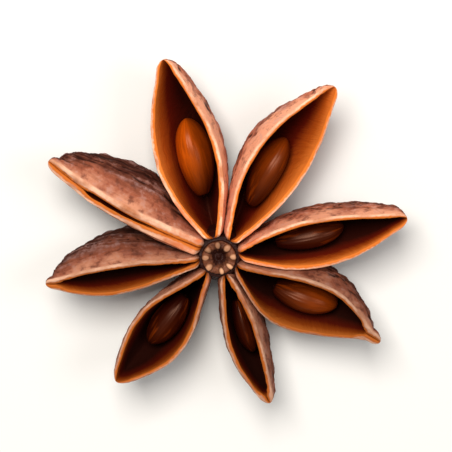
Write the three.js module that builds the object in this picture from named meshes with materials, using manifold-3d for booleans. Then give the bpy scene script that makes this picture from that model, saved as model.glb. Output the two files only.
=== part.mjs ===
// Star anise pod: a dried fruit of eight woody, boat-shaped carpels round a short column,
// with a flattened glossy seed lying in six of them.
// Millimetres, +Z up. The origin is on the column's axis, at the level the pod rests on.

import * as THREE from 'three';
import { mergeVertices } from 'three/addons/utils/BufferGeometryUtils.js';
import Module from 'manifold-3d';

// Column: the boss in the middle that carries the carpels
const COLUMN_TOP = 7.3;
const COLUMN_FOOT = 1.9;
const BOSS_RADIUS = 1.62;
const GROOVE_RADIUS = 1.98;
const GROOVE_DEPTH = 0.75;
const CORE_RADIUS = 2.5;
const CORE_SLOPE = 0.9;
const BOSS_BEVEL = 0.15;
const PIT_RADIUS = 1.0;
const PIT_FLOOR_RADIUS = 0.45;
const PIT_DEPTH = 0.8;
const PIT_BUMP_RADIUS = 0.2;
const PIT_BUMP_HEIGHT = 0.2;
const COLUMN_SIDES = 24;

// Knobs: one for each carpel, in a ring on the boss, a little clockwise of the carpel's heading
const KNOB_RADIUS = 0.36;
const KNOB_RING_RADIUS = 1.34;
const KNOB_SHIFT = -8;
const KNOB_SUNK = 0.18;
const KNOB_SIDES = 8;
const KNOB_RINGS = 6;

// Stalk stub: the broken end of the stalk under the column
const STUB_RADIUS = 1.25;
const STUB_NECK_RADIUS = 1.0;

// Carpel wall and rim
const RIM_HEIGHT = 7.5;
const HUB_RADIUS = 1.8;
const BEAK_LIP_WIDTH = 0.32;
const LIP_CROWN = 0.1;
const WALL = 0.62;
const FLOOR = 0.8;
const SUTURE_HALF_WIDTH = 0.07;
const SUTURE_DEPTH = 0.35;
const KEEL_POINT = 1.3;

// Carpel outline along its length, where 0 is the column and 1 the beak
const OUTLINE_FULLNESS = 1.15;
const BELLY_FULLNESS = 0.85;
const DEEPEST_AT = 0.42;
const HUB_DEPTH_SHARE = 0.76;
const HUB_HALF_WIDTH = 0.78;
const BEAK_DEPTH = 1.2;
const BEAK_HALF_WIDTH = 0.6;
const BEAK_ROUND = 0.7;
const BEAK_BLUNTNESS = 0.8;
const SHUTTING = 0.12;
const LEAST_HOLLOW_SHARE = 0.3;
const ROLL_STARTS_AT = 0.02;
const ROLL_FULL_AT = 0.5;

// Crest along the keel: how far it stands out, and how narrow it is round the section
const CREST_HEIGHT = 0.3;
const CREST_WIDTH = 0.1;

// Wrinkles of the outer face: depth, and how many run along and round a carpel
const WRINKLE_DEPTH = 0.16;
const WRINKLE_SHARE = 0.6;
const WRINKLE_SINK = 0.4;
const WRINKLE_SHIFT = 7;
const WRINKLES_ALONG = 5.2;
const WRINKLES_ROUND = 2.4;
const CROSS_WRINKLES_ALONG = 8.7;
const CROSS_WRINKLES_ROUND = 3.6;

// Mesh fineness
const STATIONS = 24;
const STATION_EASE = 1.35;
const ARC_POINTS = 11;
const SEED_RINGS = 11;
const SEED_SIDES = 10;
const MERGE_WITHIN = 1e-5;

// Side of the block that is cut away below the resting level
const GROUND_SIZE = 60;

// Seeds: flattened beans lying along their carpel, clear of its wall.
// SEED_TAPER is how much slimmer the inner end is, and SEED_POINT the power that shapes both
// ends: 0.5 gives the round ones of an ellipsoid and 1 those of a spindle.
const SEED_GAP = 0.34;
const SEED_TAPER = 0.1;
const SEED_POINT = 0.6;
const SEED_STEP = 0.05;

// Each carpel in turn, anticlockwise seen from above, starting at the right-hand one.
// heading: its bearing from +X in degrees; reach: beak's distance from the axis
// mouth, belly: half widths at the rim and at the widest below it; widest: where that is
// depth: rim to keel; roll: how far it leans to show its anticlockwise flank, in degrees
// bow: sideways sweep of its middle; sway: its lean one way then the other along the length
// dip: sag of the rim; rise: lift of the beak; lip: width of the rim on each side of the opening
// sweep: the lower it is, the longer the keel stays deep towards the beak
// beak: share of the length that is a narrow beak; shut: share of the length that is closed there
// seed: null, or where its middle lies along the carpel, how far it lies aside,
// and half its length, thickness and height
const CARPELS = [
  { name: 'right', heading: 12.8, reach: 18.3, mouth: 2.5, belly: 2.6, widest: 0.47,
    depth: 7.4, roll: 11, bow: -0.72, sway: -0.05, dip: 0.5, rise: 0.5, lip: 0.46,
    sweep: 0.6, beak: 0, shut: 0,
    seed: { at: 0.42, aside: 0, long: 3.45, thick: 1.3, high: 1.9 } },
  { name: 'upper_right', heading: 56.9, reach: 19.9, mouth: 2.85, belly: 2.95, widest: 0.49,
    depth: 7.5, roll: 16, bow: 0.22, sway: 0.0, dip: 0.7, rise: 0.6, lip: 0.46,
    sweep: 1.15, beak: 0, shut: 0,
    seed: { at: 0.4, aside: -0.25, long: 3.7, thick: 1.3, high: 2.1 } },
  { name: 'top', heading: 105.2, reach: 19.9, mouth: 3.15, belly: 3.25, widest: 0.47,
    depth: 7.5, roll: -12, bow: 0.35, sway: 0.0, dip: 0.8, rise: 0.4, lip: 0.55,
    sweep: 0.75, beak: 0, shut: 0,
    seed: { at: 0.42, aside: 0, long: 3.85, thick: 1.6, high: 2.2 } },
  { name: 'upper_left', heading: 149.5, reach: 18.7, mouth: 0.83, belly: 2.35, widest: 0.5,
    depth: 7.6, roll: -26, bow: 0.85, sway: 0.08, dip: 0.15, rise: 0.1, lip: 0.75,
    sweep: 0.6, beak: 0.05, shut: 0.2, seed: null },
  { name: 'left', heading: 188.2, reach: 16.7, mouth: 1.75, belly: 2.25, widest: 0.6,
    depth: 7.7, roll: -25, bow: 0.65, sway: 0.1, dip: 0.3, rise: 0.3, lip: 0.44,
    sweep: 0.65, beak: 0.05, shut: 0.02, seed: null },
  { name: 'lower_left', heading: 230.7, reach: 15.6, mouth: 2.75, belly: 2.8, widest: 0.55,
    depth: 7.4, roll: 4, bow: 0.3, sway: 0.05, dip: 0.6, rise: 0.2, lip: 0.46,
    sweep: 0.75, beak: 0, shut: 0,
    seed: { at: 0.47, aside: 0, long: 3.0, thick: 1.35, high: 1.85 } },
  { name: 'bottom', heading: 289, reach: 15.0, mouth: 1.65, belly: 2.1, widest: 0.5,
    depth: 7.4, roll: 6, bow: -0.42, sway: -0.12, dip: 0.4, rise: 0.2, lip: 0.5,
    sweep: 0.75, beak: 0.01, shut: 0.02,
    seed: { at: 0.45, aside: 0, long: 2.8, thick: 0.95, high: 1.6 } },
  { name: 'lower_right', heading: 332.5, reach: 17.4, mouth: 3.1, belly: 3.2, widest: 0.53,
    depth: 7.6, roll: 21, bow: -0.5, sway: 0.38, dip: 0.7, rise: 0.5, lip: 0.46,
    sweep: 0.75, beak: 0.07, shut: 0.06,
    seed: { at: 0.48, aside: -0.3, long: 3.2, thick: 1.5, high: 2.1 } },
];

// Colours, as seen in soft light
const HUSK_COLOUR = 0x8a4a2c;
const SEED_COLOUR = 0x7a3210;
const HUSK_ROUGHNESS = 0.6;
const SEED_ROUGHNESS = 0.2;

const radians = THREE.MathUtils.degToRad;
const clamp = THREE.MathUtils.clamp;
const mix = THREE.MathUtils.lerp;
const smoothstep = THREE.MathUtils.smoothstep;

// Rises from 0 at the column to 1 at the widest place and falls to 0 at the beak's root,
// as a power of a sine.
function outline(s, carpel) {
  const body = Math.min(s / (1 - carpel.beak), 1);
  const stretched = body ** (Math.log(0.5) / Math.log(carpel.widest));
  return Math.max(Math.sin(Math.PI * stretched), 0) ** OUTLINE_FULLNESS;
}

// Shrinks the last stretch to a round end.
function beakRound(s, carpel) {
  const stretch = BEAK_ROUND / (carpel.reach - HUB_RADIUS);
  const past = clamp((s - 1 + stretch) / stretch, 0, 1);
  return Math.sqrt(1 - BEAK_BLUNTNESS * past ** 2);
}

// Half widths and depth of a carpel's outside and of its hollow at the place s along it.
function sectionSizes(carpel, s) {
  const round = beakRound(s, carpel);
  const swell = outline(s, carpel);
  const plain = mix(carpel.lip + SUTURE_HALF_WIDTH, BEAK_HALF_WIDTH, s);
  const root = mix(HUB_HALF_WIDTH, BEAK_HALF_WIDTH, s);
  const mouth = (plain + (carpel.mouth - plain) * swell) * round;
  const belly = Math.max(mouth, (root + (carpel.belly - root) * swell ** BELLY_FULLNESS) * round);
  const t = Math.min(s / (1 - carpel.beak), 1);
  const before = clamp((DEEPEST_AT - t) / DEEPEST_AT, 0, 1);
  const after = clamp((t - DEEPEST_AT) / (1 - DEEPEST_AT), 0, 1);
  const body = (1 - (1 - HUB_DEPTH_SHARE) * before ** 2) * (1 - after ** 2) ** carpel.sweep;
  const depth = (carpel.depth * body + BEAK_DEPTH * after ** 4) * round;
  const lip = mix(carpel.lip, BEAK_LIP_WIDTH, s ** 2);
  const closing = carpel.shut ? smoothstep(s, 1 - carpel.shut - SHUTTING, 1 - carpel.shut) : 0;
  const hollowMouth = Math.max((mouth - lip) * (1 - closing), SUTURE_HALF_WIDTH * round);
  const open = smoothstep(hollowMouth, SUTURE_HALF_WIDTH, 3 * SUTURE_HALF_WIDTH);
  const hollowBelly = Math.max(hollowMouth, (belly - WALL) * open);
  const sutureDepth = Math.min(SUTURE_DEPTH, LEAST_HOLLOW_SHARE * depth);
  const openDepth = Math.max(depth - FLOOR, LEAST_HOLLOW_SHARE * depth);
  const hollowDepth = mix(sutureDepth, openDepth, open);
  return { mouth, belly, depth, hollowMouth, hollowBelly, hollowDepth };
}

// The arc angle at which a wall reaches its lip: a right angle where the mouth is the widest place.
function arcEnd(mouth, belly) {
  return Math.PI - Math.asin(Math.min(mouth / belly, 1) ** (1 / KEEL_POINT));
}

// Points of one wall of a section, from the clockwise lip round the keel to the other lip:
// across = belly * sine of the arc angle, raised to a power that sharpens the keel,
// down = depth by the cosine. A belly wider than the mouth carries the arc past a half circle.
function wallArc(mouth, belly, depth) {
  const end = arcEnd(mouth, belly);
  const points = [];
  for (let i = 0; i < ARC_POINTS; i += 1) {
    const angle = end * (-1 + (2 * i) / (ARC_POINTS - 1));
    const across = belly * Math.sign(angle) * Math.abs(Math.sin(angle)) ** KEEL_POINT;
    const down = (depth * (Math.cos(angle) - Math.cos(end))) / (1 - Math.cos(end));
    points.push({ across, down, round: angle / end });
  }
  return points;
}

// A narrow crest that runs along the keel and dies out at the column and the beak.
function crest(s, round) {
  return CREST_HEIGHT * Math.exp(-((round / CREST_WIDTH) ** 2)) * Math.sin(Math.PI * s);
}

// Two sets of slanting folds that fade out at the lips, the column and the beak.
function wrinkle(carpel, s, round) {
  const shift = radians(carpel.heading) * WRINKLE_SHIFT;
  const clearOfLips = 1 - Math.abs(round) ** 3;
  const clearOfEnds = smoothstep(s, 0.05, 0.3) * (1 - smoothstep(s, 0.93, 1));
  const turns = WRINKLES_ALONG * s + WRINKLES_ROUND * round;
  const crossTurns = CROSS_WRINKLES_ALONG * s - CROSS_WRINKLES_ROUND * round;
  const folds = Math.sin(2 * Math.PI * turns + shift);
  const crossFolds = Math.sin(2 * Math.PI * crossTurns - shift);
  const height = WRINKLE_SHARE * folds + (1 - WRINKLE_SHARE) * crossFolds - WRINKLE_SINK;
  return WRINKLE_DEPTH * clearOfLips * clearOfEnds * height;
}

// Carries a point of a section to its place: leans it about the middle of the mouth,
// then sets it out along the carpel and turns it to the carpel's heading.
function place(carpel, s, across, down) {
  const lean = radians(carpel.roll) * smoothstep(s, ROLL_STARTS_AT, ROLL_FULL_AT);
  const sideways = across * Math.cos(lean) + down * Math.sin(lean);
  const below = down * Math.cos(lean) - across * Math.sin(lean);
  const out = mix(HUB_RADIUS, carpel.reach, s);
  const sweep = carpel.bow * Math.sin(Math.PI * s) - carpel.sway * Math.sin(2 * Math.PI * s);
  const rim = RIM_HEIGHT - carpel.dip * Math.sin(Math.PI * s) ** 2 + carpel.rise * s ** 3;
  const point = new THREE.Vector3(out, sideways + sweep, rim - below);
  return point.applyAxisAngle(new THREE.Vector3(0, 0, 1), radians(carpel.heading));
}

// One closed ring of points round a section: outer wall, far lip, hollow back, near lip.
function sectionRing(carpel, s) {
  const sizes = sectionSizes(carpel, s);
  const outer = wallArc(sizes.mouth, sizes.belly, sizes.depth);
  const hollow = wallArc(sizes.hollowMouth, sizes.hollowBelly, sizes.hollowDepth);
  const ring = [];
  for (const { across, down, round } of outer) {
    const out = wrinkle(carpel, s, round) + crest(s, round);
    const size = Math.hypot(across, down) || 1;
    ring.push(place(carpel, s, across * (1 + out / size), down * (1 + out / size)));
  }
  const lipMiddle = (sizes.mouth + sizes.hollowMouth) / 2;
  ring.push(place(carpel, s, lipMiddle, -LIP_CROWN));
  for (const { across, down } of hollow.reverse()) {
    ring.push(place(carpel, s, across, down));
  }
  ring.push(place(carpel, s, -lipMiddle, -LIP_CROWN));
  return ring;
}

// A closed end made of a strip between the outer wall and the hollow, and the two lips.
function endFaces(start) {
  const faces = [];
  const last = 2 * ARC_POINTS;
  for (let i = 0; i < ARC_POINTS - 1; i += 1) {
    const across = last - i;
    faces.push([start + i, start + i + 1, start + across]);
    faces.push([start + i + 1, start + across - 1, start + across]);
  }
  faces.push([start + ARC_POINTS - 1, start + ARC_POINTS, start + ARC_POINTS + 1]);
  faces.push([start, start + last, start + last + 1]);
  return faces;
}

// A closed end across a round ring.
function fanFaces(start, size) {
  const faces = [];
  for (let i = 1; i < size - 1; i += 1) {
    faces.push([start, start + i, start + i + 1]);
  }
  return faces;
}

// A body skinned over rings of equal size, with its two ends closed by the given faces.
function skin(rings, firstEnd, lastEnd) {
  const positions = [];
  const index = [];
  const size = rings[0].length;
  for (const ring of rings) {
    for (const point of ring) {
      positions.push(point.x, point.y, point.z);
    }
  }
  for (let k = 0; k < rings.length - 1; k += 1) {
    for (let i = 0; i < size; i += 1) {
      const a = k * size + i;
      const b = k * size + ((i + 1) % size);
      index.push(a, b, a + size);
      index.push(b, b + size, a + size);
    }
  }
  for (const [a, b, c] of firstEnd) {
    index.push(a, c, b);
  }
  for (const face of lastEnd) {
    index.push(...face);
  }
  const geometry = new THREE.BufferGeometry();
  geometry.setAttribute('position', new THREE.Float32BufferAttribute(positions, 3));
  geometry.setIndex(index);
  return geometry;
}

function carpelGeometry(carpel) {
  const rings = [];
  for (let k = 0; k < STATIONS; k += 1) {
    const s = 1 - (1 - k / (STATIONS - 1)) ** STATION_EASE;
    rings.push(sectionRing(carpel, s));
  }
  const lastStart = (STATIONS - 1) * rings[0].length;
  return skin(rings, endFaces(0), endFaces(lastStart));
}

// From the top: the boss with its pit and the small bump in it, the groove round the boss,
// the core that carries the carpels, and the stub.
function columnGeometry() {
  const grooveFloor = COLUMN_TOP - GROOVE_DEPTH;
  const profile = [
    new THREE.Vector2(0, 0),
    new THREE.Vector2(STUB_RADIUS, 0),
    new THREE.Vector2(STUB_NECK_RADIUS, COLUMN_FOOT / 2),
    new THREE.Vector2(CORE_RADIUS, COLUMN_FOOT + CORE_SLOPE),
    new THREE.Vector2(CORE_RADIUS, grooveFloor - CORE_SLOPE),
    new THREE.Vector2(GROOVE_RADIUS, grooveFloor),
    new THREE.Vector2(BOSS_RADIUS, grooveFloor),
    new THREE.Vector2(BOSS_RADIUS, COLUMN_TOP - 2 * BOSS_BEVEL),
    new THREE.Vector2(BOSS_RADIUS - BOSS_BEVEL, COLUMN_TOP - BOSS_BEVEL),
    new THREE.Vector2(PIT_RADIUS, COLUMN_TOP - BOSS_BEVEL),
    new THREE.Vector2(PIT_FLOOR_RADIUS, COLUMN_TOP - PIT_DEPTH),
    new THREE.Vector2(PIT_BUMP_RADIUS, COLUMN_TOP - PIT_DEPTH),
    new THREE.Vector2(0, COLUMN_TOP - PIT_DEPTH + PIT_BUMP_HEIGHT),
  ];
  const geometry = new THREE.LatheGeometry(profile, COLUMN_SIDES);
  return geometry.rotateX(Math.PI / 2);
}

// One pale knob of the ring on the boss.
function knobGeometry(carpel) {
  const angle = radians(carpel.heading + KNOB_SHIFT);
  const geometry = new THREE.SphereGeometry(KNOB_RADIUS, KNOB_SIDES, KNOB_RINGS);
  geometry.rotateX(Math.PI / 2);
  geometry.translate(
    KNOB_RING_RADIUS * Math.cos(angle),
    KNOB_RING_RADIUS * Math.sin(angle),
    COLUMN_TOP - KNOB_SUNK,
  );
  return geometry;
}

// Half the room across the hollow, so far down from the lips.
function hollowRoom(sizes, down) {
  const { hollowMouth, hollowBelly, hollowDepth } = sizes;
  const end = arcEnd(hollowMouth, hollowBelly);
  const cosine = Math.cos(end) + (down / hollowDepth) * (1 - Math.cos(end));
  return cosine >= 1 ? 0 : hollowBelly * Math.sin(Math.acos(cosine)) ** KEEL_POINT;
}

// The rings of a bean: a flattened ellipsoid with sharper ends, the inner one the narrower.
// Each point is its place along the carpel, its distance across and its distance down.
function seedRings(carpel, middleDown) {
  const { at, aside, long, thick, high } = carpel.seed;
  const span = carpel.reach - HUB_RADIUS;
  const rings = [];
  for (let k = 0; k < SEED_RINGS; k += 1) {
    const along = -Math.cos((Math.PI * (k + 0.5)) / SEED_RINGS);
    const girth = (1 - along ** 2) ** SEED_POINT * (1 + SEED_TAPER * along);
    const s = at + (along * long) / span;
    const ring = [];
    for (let i = 0; i < SEED_SIDES; i += 1) {
      const angle = (-2 * Math.PI * i) / SEED_SIDES;
      const across = aside + thick * girth * Math.cos(angle);
      const down = middleDown + high * girth * Math.sin(angle);
      ring.push({ s, across, down });
    }
    rings.push(ring);
  }
  return rings;
}

// Lifts the seed from the bottom of its hollow until all of it is SEED_GAP clear of the wall.
function seedGeometry(carpel) {
  const { at, high } = carpel.seed;
  const clear = ({ s, across, down }) => (
    hollowRoom(sectionSizes(carpel, s), down + SEED_GAP) > Math.abs(across) + SEED_GAP
  );
  let middleDown = sectionSizes(carpel, at).hollowDepth - high;
  while (!seedRings(carpel, middleDown).flat().every(clear) && middleDown > high) {
    middleDown -= SEED_STEP;
  }
  const rings = seedRings(carpel, middleDown).map((ring) => (
    ring.map(({ s, across, down }) => place(carpel, s, across, down))
  ));
  const lastStart = (SEED_RINGS - 1) * SEED_SIDES;
  return skin(rings, fanFaces(0, SEED_SIDES), fanFaces(lastStart, SEED_SIDES));
}

const wasm = await Module();
wasm.setup();

// A closed geometry as a solid that can be joined and cut.
function toSolid(geometry) {
  const bare = geometry.clone();
  bare.deleteAttribute('normal');
  bare.deleteAttribute('uv');
  const merged = mergeVertices(bare, MERGE_WITHIN);
  const vertProperties = new Float32Array(merged.attributes.position.array);
  const triVerts = new Uint32Array(merged.index.array);
  return new wasm.Manifold(new wasm.Mesh({ numProp: 3, vertProperties, triVerts }));
}

// Joins the carpels, the column and its knobs, and cuts off what hangs below the resting level.
function huskGeometry() {
  let husk = toSolid(columnGeometry());
  for (const carpel of CARPELS) {
    husk = husk.add(toSolid(knobGeometry(carpel)));
    husk = husk.add(toSolid(carpelGeometry(carpel)));
  }
  const ground = new THREE.BoxGeometry(GROUND_SIZE, GROUND_SIZE, GROUND_SIZE);
  ground.translate(0, 0, -GROUND_SIZE / 2);
  const { vertProperties, triVerts } = husk.subtract(toSolid(ground)).getMesh();
  const geometry = new THREE.BufferGeometry();
  geometry.setAttribute('position', new THREE.Float32BufferAttribute(vertProperties, 3));
  geometry.setIndex([...triVerts]);
  return geometry;
}

function addPiece(group, name, geometry, color, roughness) {
  geometry.computeVertexNormals();
  const mesh = new THREE.Mesh(geometry, new THREE.MeshStandardMaterial({ color, roughness }));
  mesh.name = name;
  group.add(mesh);
}

const pod = new THREE.Group();
addPiece(pod, 'husk', huskGeometry(), HUSK_COLOUR, HUSK_ROUGHNESS);
for (const carpel of CARPELS.filter(({ seed }) => seed)) {
  addPiece(pod, `seed_${carpel.name}`, seedGeometry(carpel), SEED_COLOUR, SEED_ROUGHNESS);
}

export default pod;
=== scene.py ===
"""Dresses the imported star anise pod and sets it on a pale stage.

Eight woody carpels, the column that joins them and six glossy seeds are surfaces of two parameters,
worked out with numpy from the same formulas as the solids, and then given finer wrinkles and grain.
Lengths are in metres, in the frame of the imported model.
"""

import math
from collections import namedtuple

import bpy
import numpy as np
from bpy.props import (
    FloatProperty,
    FloatVectorProperty,
    IntProperty,
    PointerProperty,
)
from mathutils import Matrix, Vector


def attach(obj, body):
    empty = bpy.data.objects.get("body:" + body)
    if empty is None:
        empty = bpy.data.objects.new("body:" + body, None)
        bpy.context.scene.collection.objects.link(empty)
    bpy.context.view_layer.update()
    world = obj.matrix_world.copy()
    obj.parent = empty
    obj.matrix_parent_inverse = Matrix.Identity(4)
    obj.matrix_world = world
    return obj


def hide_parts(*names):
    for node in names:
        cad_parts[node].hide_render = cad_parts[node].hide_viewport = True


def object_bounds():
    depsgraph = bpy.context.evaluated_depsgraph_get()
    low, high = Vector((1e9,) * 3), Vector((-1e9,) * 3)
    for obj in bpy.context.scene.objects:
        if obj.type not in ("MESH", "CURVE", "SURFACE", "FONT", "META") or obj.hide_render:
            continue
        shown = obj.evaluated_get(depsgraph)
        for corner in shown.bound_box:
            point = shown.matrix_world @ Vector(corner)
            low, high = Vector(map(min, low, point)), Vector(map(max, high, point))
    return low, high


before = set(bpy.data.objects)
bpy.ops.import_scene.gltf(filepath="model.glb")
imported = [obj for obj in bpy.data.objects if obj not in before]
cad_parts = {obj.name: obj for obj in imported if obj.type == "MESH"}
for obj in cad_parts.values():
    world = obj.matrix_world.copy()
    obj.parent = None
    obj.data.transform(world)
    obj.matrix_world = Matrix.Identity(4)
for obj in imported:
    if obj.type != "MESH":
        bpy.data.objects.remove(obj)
CAD_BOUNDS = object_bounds()

bl_info = {
    "name": "Star anise pod",
    "version": (1, 0, 0),
    "blender": (4, 5, 0),
    "location": "3D View > Sidebar > Pod",
    "description": "Makes the carpels, column and seeds of a star anise pod, and its stage",
    "category": "Add Mesh",
}

MM = 0.001

# The carpels, anticlockwise seen from above. Their sizes are those of the solids, with lengths in
# millimetres and angles in degrees.
# heading: bearing from +X; reach: the beak's distance from the axis
# mouth, belly: half widths at the rim and at the widest below it; widest: where that is
# depth: rim to keel; roll: how far it leans to show its anticlockwise flank
# bow: sideways sweep of its middle; sway: its lean one way and then the other
# dip: sag of the rim; rise: lift of the beak; lip: width of the rim on each side of the opening
# sweep: the lower it is, the longer the keel stays deep towards the beak
# beak, shut: shares of the length that are a narrow beak, and that are closed towards it
# pale: painted light, how bright a carpel is made, most of all outside; gloom: how soon its painted
# shade deepens down the hollow
# A seed's at is the place of its middle along the carpel, aside and down are where that lies
# across and below the rim, and long, thick and high are half sizes. Its amber is 0 where it is
# dark and 1 where it is palest.
Seed = namedtuple("Seed", "at aside long thick high down amber")
Carpel = namedtuple("Carpel", "name heading reach mouth belly widest depth roll bow sway dip rise "
                              "lip sweep beak shut pale gloom seed")
CARPELS = (
    Carpel(name="right", heading=12.8, reach=18.3, mouth=2.5, belly=2.6, widest=0.47,
           depth=7.4, roll=11, bow=-0.72, sway=-0.05, dip=0.5, rise=0.5, lip=0.46,
           sweep=0.6, beak=0, shut=0, pale=0.68, gloom=1.5,
           seed=Seed(at=0.42, aside=0, long=3.45, thick=1.3, high=1.9, down=2.9, amber=0.05)),
    Carpel(name="upper_right", heading=56.9, reach=19.9, mouth=2.85, belly=2.95, widest=0.49,
           depth=7.5, roll=16, bow=0.22, sway=0, dip=0.7, rise=0.6, lip=0.46,
           sweep=1.15, beak=0, shut=0, pale=1, gloom=0.6,
           seed=Seed(at=0.4, aside=-0.25, long=3.7, thick=1.3, high=2.1, down=2.6, amber=0.25)),
    Carpel(name="top", heading=105.2, reach=19.9, mouth=3.15, belly=3.25, widest=0.47,
           depth=7.5, roll=-12, bow=0.35, sway=0, dip=0.8, rise=0.4, lip=0.55,
           sweep=0.75, beak=0, shut=0, pale=0.9, gloom=0.65,
           seed=Seed(at=0.42, aside=0, long=3.85, thick=1.6, high=2.2, down=3.15, amber=1)),
    Carpel(name="upper_left", heading=149.5, reach=18.7, mouth=0.83, belly=2.35, widest=0.5,
           depth=7.6, roll=-26, bow=0.85, sway=0.08, dip=0.15, rise=0.1, lip=0.75,
           sweep=0.6, beak=0.05, shut=0.2, pale=0.52, gloom=1.2, seed=None),
    Carpel(name="left", heading=188.2, reach=16.7, mouth=1.75, belly=2.25, widest=0.6,
           depth=7.7, roll=-25, bow=0.65, sway=0.1, dip=0.3, rise=0.3, lip=0.44,
           sweep=0.65, beak=0.05, shut=0.02, pale=0.3, gloom=1.6, seed=None),
    Carpel(name="lower_left", heading=230.7, reach=15.6, mouth=2.75, belly=2.8, widest=0.55,
           depth=7.4, roll=4, bow=0.3, sway=0.05, dip=0.6, rise=0.2, lip=0.46,
           sweep=0.75, beak=0, shut=0, pale=0.25, gloom=1,
           seed=Seed(at=0.47, aside=0, long=3, thick=1.35, high=1.85, down=3.16, amber=0.05)),
    Carpel(name="bottom", heading=289, reach=15, mouth=1.65, belly=2.1, widest=0.5,
           depth=7.4, roll=6, bow=-0.42, sway=-0.12, dip=0.4, rise=0.2, lip=0.5,
           sweep=0.75, beak=0.01, shut=0.02, pale=0.15, gloom=1.3,
           seed=Seed(at=0.45, aside=0, long=2.8, thick=0.95, high=1.6, down=3.53, amber=0.05)),
    Carpel(name="lower_right", heading=332.5, reach=17.4, mouth=3.1, belly=3.2, widest=0.53,
           depth=7.6, roll=21, bow=-0.5, sway=0.38, dip=0.7, rise=0.5, lip=0.46,
           sweep=0.75, beak=0.07, shut=0.06, pale=0.12, gloom=1.3,
           seed=Seed(at=0.48, aside=-0.3, long=3.2, thick=1.5, high=2.1, down=2.64, amber=0.3)),
)
CARPEL_LENGTHS = ("reach", "mouth", "belly", "depth", "bow", "sway", "dip", "rise", "lip")
SEED_LENGTHS = ("aside", "long", "thick", "high", "down")

# How a carpel's outline, keel and lean run along it, where 0 is the column and 1 the beak.
HUB_RADIUS = 1.8 * MM
RIM_HEIGHT = 7.5 * MM
OUTLINE_FULLNESS = 1.15
BELLY_FULLNESS = 0.85
DEEPEST_AT = 0.42
HUB_DEPTH_SHARE = 0.76
SHUTTING = 0.12
LEAST_HOLLOW_SHARE = 0.3
ROLL_STARTS_AT = 0.02
ROLL_FULL_AT = 0.5

# How a section runs from lip to lip: the power that sharpens the keel, how blunt the keel and the
# hollow's bottom are, the powers that make the lips fuller and set their top towards the flank,
# and the width of the keel's crest, of which 1 is half the wall.
KEEL_POINT = 1.3
KEEL_ROUNDING = 0.02
HOLLOW_ROUNDING = 0.5
LIP_SIDE_FULLNESS = 0.85
LIP_TOP_FULLNESS = 0.8
LIP_TOP_SHIFT = 0.75
CREST_WIDTH = 0.1

# Coarse folds of the outer face, as the solids have them.
WRINKLE_SHARE = 0.6
WRINKLE_SINK = 0.4
WRINKLE_SHIFT = 7
WRINKLES_ALONG = 5.2
WRINKLES_ROUND = 2.4
CROSS_WRINKLES_ALONG = 8.7
CROSS_WRINKLES_ROUND = 3.6

# Lengths over which the noise of the surfaces changes.
WAVER_LENGTH = 2.4 * MM
WAVER_FADE = 1.3 * MM
FOLD_LENGTH = 3.4 * MM
FOLD_HEIGHT = 0.8 * MM
LUMP_SIZE = 0.95 * MM
GRAIN_SIZE = 0.3 * MM
FIBRE_LENGTH = 3 * MM
FIBRE_WIDTH = 0.35 * MM
COLUMN_LUMP_SIZE = 0.45 * MM
SEED_LUMP_SIZE = 1.6 * MM

# How far folds and cracks stray from running lengthwise, and how narrow a crack is.
FOLD_DRIFT = 0.2
CRACK_DRIFT = 0.25
CRACK_WIDTH = 0.1

# How far apart in the noise a carpel's two walls are, and the length over which one passes into
# the other.
WAVER_APART = 7.3
FOLD_APART = 5.1
FIBRE_APART = 3.7
SIDE_BLEND = 0.5 * MM

# How much of the grain the lips and the hollow have.
LIP_GRAIN = 0.25
HOLLOW_GRAIN = 0.05

# How far down the walls the lips' colour reaches, and the depth that the hollow's painted shade counts
# by.
LIP_EDGE = 0.16 * MM
PAINTED_SHADE_DEPTH = 8 * MM

# Ridges round and along a seed, and the scar's place and width, where a seed runs from -1 to 1.
RIDGES_ROUND = 5.72
RIDGES_ALONG = 0.702
SCAR_AT = -0.97
SCAR_WIDTH = 0.05

# Furrows round the column, how far each keeps its depth, and where they start from the axis.
FURROWS_ROUND = 2.6
FURROW_LENGTH = 2 * MM
FURROWS_START = 0.5 * MM

# Lengths over which the column's boss, core and middle pass into what is beside them, the depth at
# which the painted shade of its pit is darkest, and the rows over which its profile is smoothed.
BOSS_BLEND = 0.2 * MM
CORE_BLEND = 0.3 * MM
MIDDLE_BLEND = 0.2 * MM
PIT_SHADE_DEPTH = 0.7 * MM
SMOOTHED_ROWS = 5

# Degrees from a carpel's bearing to its knob's, clockwise, and the bearing of the knob with most
# painted shade.
KNOB_SHIFT = -8
MOST_SHADED_KNOB = 120

# Where the noise of each kind of piece starts, and how far apart two carpels' starts are.
COLUMN_NOISE = 7
SEED_NOISE = 40
CARPEL_NOISE = 100

# Size of the table of random directions that the noise draws on.
LATTICE = 256

# Sizes of the blotches in the colours.
MOTTLE_SIZE = 2.2 * MM
PATCH_SIZE = 1.1 * MM
SPECK_SIZE = 0.42 * MM
GRIT_SIZE = 0.16 * MM
COLUMN_MOTTLE_SIZE = 0.5 * MM
FLOOR_CLOUD_SIZE = 40 * MM

# Length that is 1 in the surfaces' own maps, and the streaks in it, along and round.
MAP_LENGTH = 20 * MM
HUSK_STREAKS = (9, 70, 1)
SEED_STREAKS = (5, 38, 1)

FLOOR_HALF_WIDTH = 600 * MM


def linear(code):
    """The scene-linear colour of a hexadecimal sRGB code."""
    channels = np.array([code >> 16 & 255, code >> 8 & 255, code & 255]) / 255
    low = channels / 12.92
    high = ((channels + 0.055) / 1.055) ** 2.4
    return tuple(float(c) for c in np.where(channels <= 0.04045, low, high))


def length(name, description, millimetres):
    """A length a user may change."""
    return FloatProperty(name=name, description=description, default=millimetres * MM,
                         min=0, precision=5, unit="LENGTH")


def share(name, description, default):
    """A share from 0 to 1 a user may change."""
    return FloatProperty(name=name, description=description, default=default,
                         min=0, max=1, subtype="FACTOR")


def number(name, description, default, least, most):
    """A plain number a user may change."""
    return FloatProperty(name=name, description=description, default=default,
                         min=least, max=most)


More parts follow.
